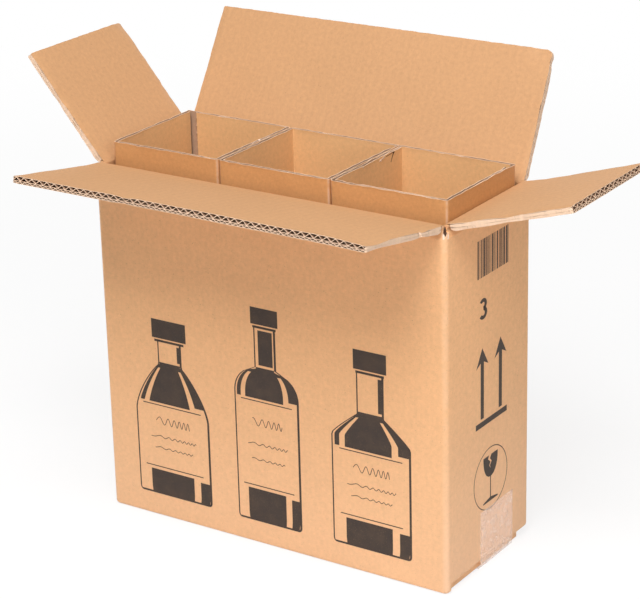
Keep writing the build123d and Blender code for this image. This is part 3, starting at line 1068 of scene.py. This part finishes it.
# The side print, in the same ink and in millimetres: a field of uneven bars, the figure 3 for
# three bottles, two arrows that show which way is up over a bar, and a cracked glass in a ring.
bars_left, bars_right, bars_low, bars_high = -17.8, 29.9, 237.8, 267.4
bar_unit = 0.62
three_middle, three_wide = np.array([-9.4, 213.0]), 1.2
arrow_tip, arrow_barb, arrow_notch, arrow_foot = 182.0, 167.2, 170.6, 125.0
arrow_half, shaft_half, arrow_middles = 9.1, 2.4, (-10.6, 16.9)
ground_bar = (-20.3, 27.1, 118.2, 122.8)
ring_middle, ring_radius, ring_line = np.array([2.4, 71.6]), 25.8, 0.75
glass_middle, bowl_foot, bowl_top, bowl_half = 2.2, 72.8, 91.0, 11.0
crack_foot, crack_gape = 79.4, 1.9
crack_turns = np.linspace(crack_foot, bowl_top, 5)
stand_half, stem_half = 11.2, 0.7
stand_low, stand_edge, stem_foot, stand_high = 52.4, 53.6, 54.9, 55.6

bar_draw = np.random.default_rng(5)
side_fields = []
reach = bars_left
while reach < bars_right - 3 * bar_unit:
    width = bar_unit * bar_draw.integers(1, 4)
    side_fields.append(bar(reach, reach + width, bars_low, bars_high))
    reach += width + bar_unit * bar_draw.integers(1, 3)

side_fields.append(ring(three_middle + (0, 3.5), 4.6, 2.9, -85, 150, three_wide))
side_fields.append(ring(three_middle - (0, 3.4), 5.0, 3.0, -150, 80, three_wide))


def arrow_fields(middle):
    """An arrow: two barbs between the head's edge and its notch, its point and its shaft."""
    barb = np.array([arrow_barb, arrow_notch])
    point = np.array([arrow_notch, arrow_tip])

    def head(up):
        """Half the head's width, which falls evenly to its tip."""
        return arrow_half * (arrow_tip - up) / (arrow_tip - arrow_barb)

    notch = np.array([arrow_half, shaft_half])
    for side in (-1, 1):
        outer = points_at(middle + side * head(barb), barb)
        yield on_side(side, outer, points_at(middle + side * notch, barb))
    yield between(points_at(middle - head(point), point), points_at(middle + head(point), point))
    yield bar(middle - shaft_half, middle + shaft_half, arrow_foot, arrow_notch)


for middle in arrow_middles:
    side_fields.extend(arrow_fields(middle))
side_fields.append(bar(*ground_bar))


def bowl(up):
    """Half the width of the bowl: a rounded foot that opens to an upright rim."""
    share = (up - bowl_foot) / (bowl_top - bowl_foot)
    return bowl_half * np.sqrt(1 - (1 - share) ** 2.4)


def crack(up):
    """The middle of the crack, which turns from side to side on its way up."""
    return np.interp(up, crack_turns, [0.4, -1.5, 0.7, -2.4, -0.6])


def glass_field(left, right, up):
    """Part of the glass between two curves of distance from its middle."""
    return between(points_at(glass_middle + left, up), points_at(glass_middle + right, up))


side_fields.append(ring(ring_middle, ring_radius, ring_line, 0, 360))
up = np.linspace(bowl_foot, crack_foot, 14)
side_fields.append(glass_field(-bowl(up), bowl(up), up))
up = np.unique(np.concatenate([np.linspace(crack_foot, bowl_top, 15), crack_turns]))
gape = crack_gape * (up - crack_foot) / (bowl_top - crack_foot)
side_fields.append(glass_field(-bowl(up), crack(up) - gape, up))
side_fields.append(glass_field(crack(up) + gape, bowl(up), up))
up = np.array([stem_foot, bowl_foot + 0.1])
side_fields.append(glass_field(-stem_half, stem_half, up))
up = np.linspace(stand_low, stand_high, 7)
wide = np.interp(up, [stand_low, stand_edge, stand_high], [stand_half, stand_half, stem_half])
side_fields.append(glass_field(-wide, wide, up))
make_print("side_print", side_fields, on_right)

# Packing tape: clear film with a slightly milky glue, over the closed bottom and up both short
# sides. It shines, and its glue has caught small bubbles.
tape_colour = linear(250, 230, 214)
tape_cover, bubble_cover, streak_cover = 0.26, 0.14, 0.06
tape_roughness = 0.22
wrinkle_relief = 0.0004
tape = frame["nodes"]["packing_tape"]
material, tree = blank_material("milky_tape")
place = put(tree, "TexCoord", {}).outputs["Object"]
bubbles = smooth_step(tree, grain(tree, place, 5, detail=4, rough=0.6), 0.46, 0.66)
bubbles = times(tree, bubbles, bubble_cover)
streaks = varied(tree, place, 3, streak_cover, detail=3, stretch=(1, 1, 12))
cover = added(tree, tape_cover, bubbles, streaks)
shadow = put(tree, "LightPath", {}).outputs["Is Shadow Ray"]
clear = reckon(tree, "SUBTRACT", 1.0, shadow)
wrinkles = grain(tree, place, 16, detail=3, stretch=(1, 1, 0.4))
bump = put(tree, "Bump", {"Height": wrinkles, "Distance": wrinkle_relief, "Strength": 0.5})
sockets = {"Base Color": tape_colour, "Roughness": tape_roughness, "Normal": bump.outputs[0]}
sockets["Alpha"] = times(tree, cover, clear)
surface(tree, sockets)
tape.data.materials.clear()
tape.data.materials.append(material)

boxes = {"cad": cad_bounds, "visual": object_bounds()}
{key: [list(corner) for corner in box] for key, box in boxes.items()}
